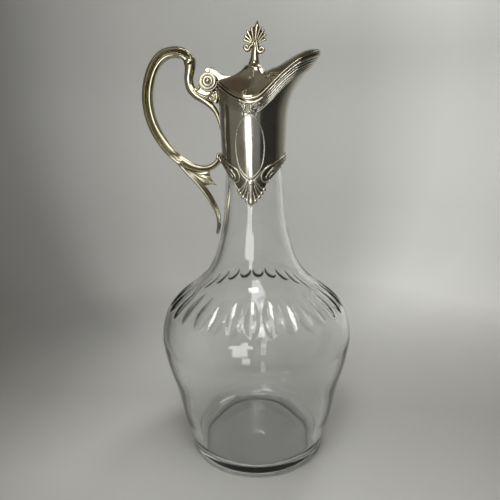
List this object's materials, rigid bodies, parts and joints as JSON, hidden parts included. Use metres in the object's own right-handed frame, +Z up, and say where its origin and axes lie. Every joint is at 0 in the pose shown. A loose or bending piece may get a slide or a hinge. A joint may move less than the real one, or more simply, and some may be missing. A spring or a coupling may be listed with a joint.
{
  "type": "claret jug",
  "caption": "Tall clear glass claret jug with cut shoulder, silver-plated collar, beak spout, scroll handle and a hinged domed lid with a palmette finial.",
  "frame": {"origin": "centre of the flat ground base, on the surface the jug stands on", "axes": "+Z up along the bottle's axis, +X towards the spout, -X towards the handle, -Y the front with the cartouche"},
  "size_m": [0.1415, 0.1348, 0.2981],
  "materials": {
    "clear_glass": "clear polished blown glass with wheel-cut olives",
    "plaster": "set plaster of Paris, matte",
    "collar_silver": "polished silver plate, lightly tarnished",
    "handle_silver": "cast, silver plated, worn warm on the high points",
    "hinge_silver": "silver plate, darkened in the joints",
    "lid_silver": "polished silver plate",
    "finial_silver": "cast, silver plated, dark in the flutes",
    "nut_brass": "plain brass"
  },
  "bodies": {
    "jug": {"glass_body": "clear_glass", "neck_plaster": "plaster", "collar_shell": "collar_silver", "rim_moulding": "collar_silver", "lower_border": "collar_silver", "palmette_front": "collar_silver", "palmette_back": "collar_silver", "cartouche_frame_front": "collar_silver", "cartouche_frame_back": "collar_silver", "rim_bow_front": "collar_silver", "rim_bow_back": "collar_silver", "handle_scroll": "handle_silver", "handle_swan_neck": "handle_silver", "handle_lower_branch": "handle_silver", "handle_tail_spur": "handle_silver", "handle_leaf": "handle_silver", "hinge_bracket": "handle_silver", "hinge_knuckles_fixed": "hinge_silver", "hinge_pin": "hinge_silver", "hinge_end_rings": "hinge_silver"},
    "lid": {"lid_shell": "lid_silver", "lid_edge_bead": "lid_silver", "lid_bezel": "lid_silver", "lid_knuckle": "hinge_silver", "lid_crest": "handle_silver", "finial_foot": "finial_silver", "finial_palmette": "finial_silver", "finial_nut": "nut_brass"}
  },
  "joints": [
    {"name": "lid_hinge", "type": "hinge", "parent": "jug", "child": "lid", "pos_m": [-0.028, 0, 0.2624], "axis": [0, -1, 0], "range_deg": [0, 80]}
  ]
}
